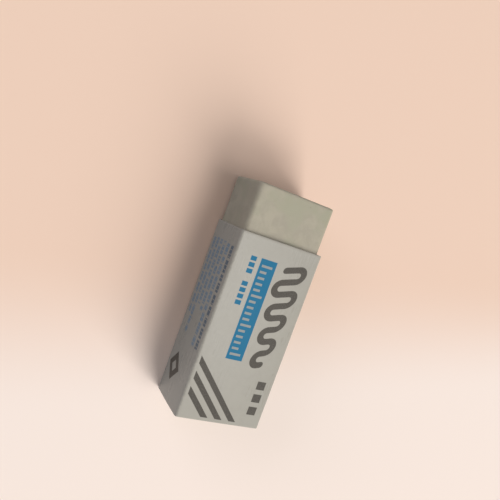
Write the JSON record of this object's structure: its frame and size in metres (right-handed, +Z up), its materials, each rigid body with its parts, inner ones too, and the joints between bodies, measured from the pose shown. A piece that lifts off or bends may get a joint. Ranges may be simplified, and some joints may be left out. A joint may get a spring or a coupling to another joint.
{
  "type": "rubber eraser",
  "caption": "Block eraser for pencil: a white rubber bar with rounded long edges, gripped by an open-ended printed card sleeve that slides along it.",
  "frame": {"origin": "middle of the bounding box, on the surface that the sleeve's underside lies on", "axes": "+X along the bar towards its bare rubbing end; +Y towards the printed narrow side, away from the glued lap; +Z up, out of the printed wide side"},
  "size_m": [0.0434, 0.0173, 0.0118],
  "materials": {
    "white_rubber": "matte",
    "printed_card": "satin"
  },
  "bodies": {
    "block": {"rubber_block": "white_rubber"},
    "sleeve": {"card_sleeve": "printed_card"}
  },
  "joints": [
    {"name": "sleeve_slide", "type": "slide", "parent": "block", "child": "sleeve", "axis": [1, 0, 0], "range_m": [-0.017, 0.0088]}
  ]
}
